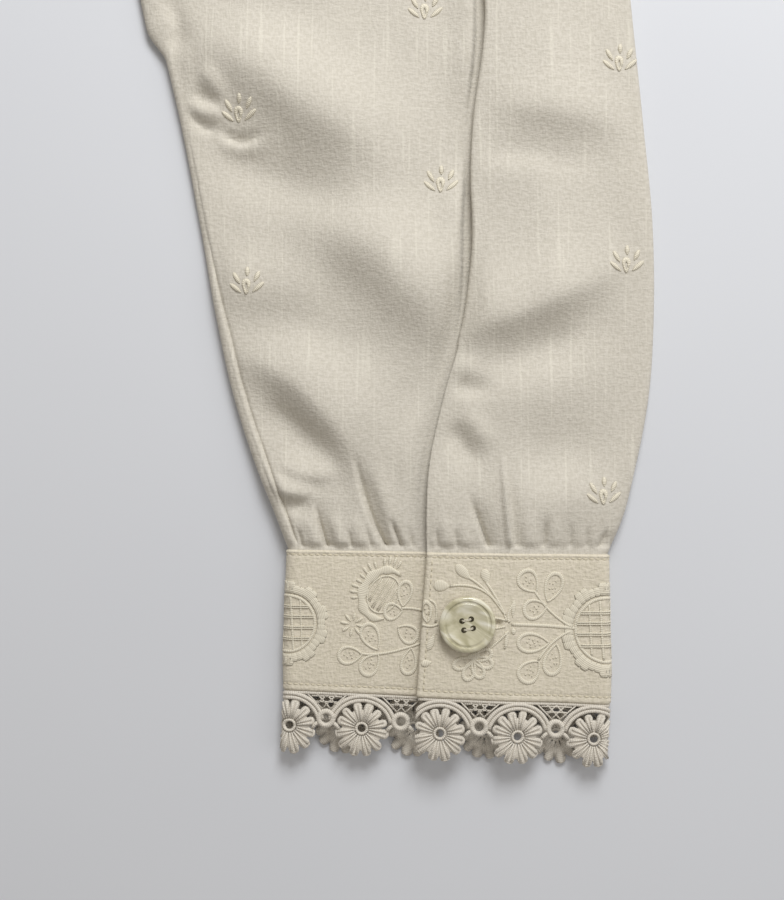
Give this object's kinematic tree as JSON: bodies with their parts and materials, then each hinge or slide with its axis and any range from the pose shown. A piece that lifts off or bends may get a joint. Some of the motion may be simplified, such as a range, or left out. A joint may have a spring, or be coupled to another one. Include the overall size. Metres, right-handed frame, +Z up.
{
  "type": "embroidered shirt",
  "caption": "Embroidered linen folk shirt laid flat with its back upward: body panels, long sleeves gathered into buttoned cuffs with a lace edging, and a narrow neckband.",
  "frame": {"origin": "centre of the footprint, on the surface that the shirt lies on", "axes": "+Z up off the surface, +Y from the hem towards the neck, +X towards the wearer's right sleeve; the back faces up"},
  "size_m": [1.3004, 0.6335, 0.0122],
  "materials": {
    "linen": "cream slub linen, plain weave, matt",
    "cuff_linen": "doubled cream linen with tone-on-tone embroidery and topstitching",
    "lace": "cream cotton guipure lace",
    "shell": "polished greenish cream pearl shell"
  },
  "bodies": {
    "root": {"front": "linen", "back": "linen", "neckband_front": "linen", "neckband_back": "linen", "sleeve_right": "linen", "sleeve_left": "linen", "cuff_right": "cuff_linen", "cuff_left": "cuff_linen", "lace_right": "lace", "lace_left": "lace", "button_right": "shell", "button_left": "shell"}
  },
  "joints": []
}
